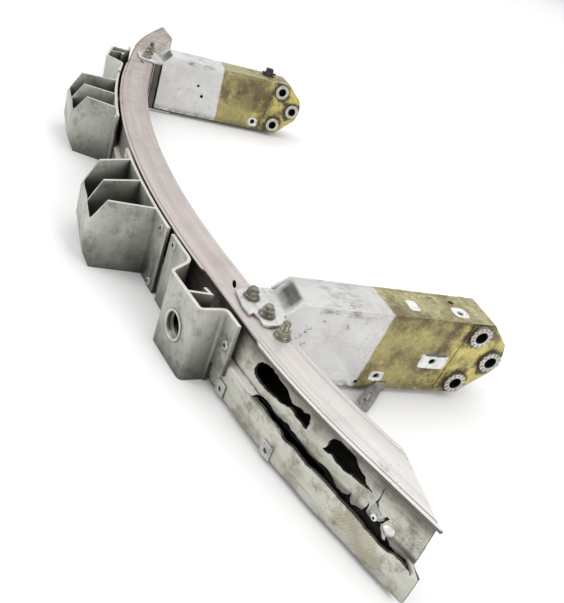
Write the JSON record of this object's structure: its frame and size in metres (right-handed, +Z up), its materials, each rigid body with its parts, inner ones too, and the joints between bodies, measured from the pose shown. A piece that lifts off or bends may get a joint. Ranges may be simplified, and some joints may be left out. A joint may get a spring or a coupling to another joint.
{
  "type": "car bumper crash beam",
  "caption": "Curved aluminium crash beam with box-section crash rails behind it and extruded brackets on its front face, used and torn at one end.",
  "frame": {"origin": "under the middle of the whole part, on the plane it stands on", "axes": "+X towards the car's left, +Y rearwards from the beam to the rails' ends, +Z up"},
  "size_m": [1.2774, 0.4348, 0.1136],
  "materials": {
    "beam_alloy": "worn mill finish",
    "rail_paint": "weathered paint, white in front and yellow behind",
    "flange_paint": "worn light grey",
    "sleeve_steel": "dull zinc",
    "zinc_steel": "dull zinc with dirt",
    "bracket_alloy": "dark extruded finish",
    "rivet_steel": "satin",
    "tab_steel": "dark grey",
    "clip_plastic": "matt black",
    "strap_alloy": "bright torn edge"
  },
  "bodies": {
    "root": {"bumper_beam": "beam_alloy", "left_rail_outer": "rail_paint", "left_rail_inner": "rail_paint", "left_rail_front_plate": "flange_paint", "left_rail_sleeves": "sleeve_steel", "left_top_flange": "flange_paint", "left_low_flange": "flange_paint", "left_studs": "zinc_steel", "left_nuts": "zinc_steel", "left_centre_bracket": "bracket_alloy", "left_outer_bracket": "bracket_alloy", "left_bracket_rivets": "rivet_steel", "left_nut_plates": "rivet_steel", "right_rail_outer": "rail_paint", "right_rail_inner": "rail_paint", "right_rail_front_plate": "flange_paint", "right_rail_sleeves": "sleeve_steel", "right_top_flange": "flange_paint", "right_low_flange": "flange_paint", "right_studs": "zinc_steel", "right_nuts": "zinc_steel", "right_centre_bracket": "bracket_alloy", "right_outer_bracket": "bracket_alloy", "right_bracket_rivets": "rivet_steel", "right_nut_plates": "rivet_steel", "slotted_tab": "tab_steel", "plastic_clip": "clip_plastic", "torn_strap": "strap_alloy", "strap_rivet": "rivet_steel"}
  },
  "joints": []
}
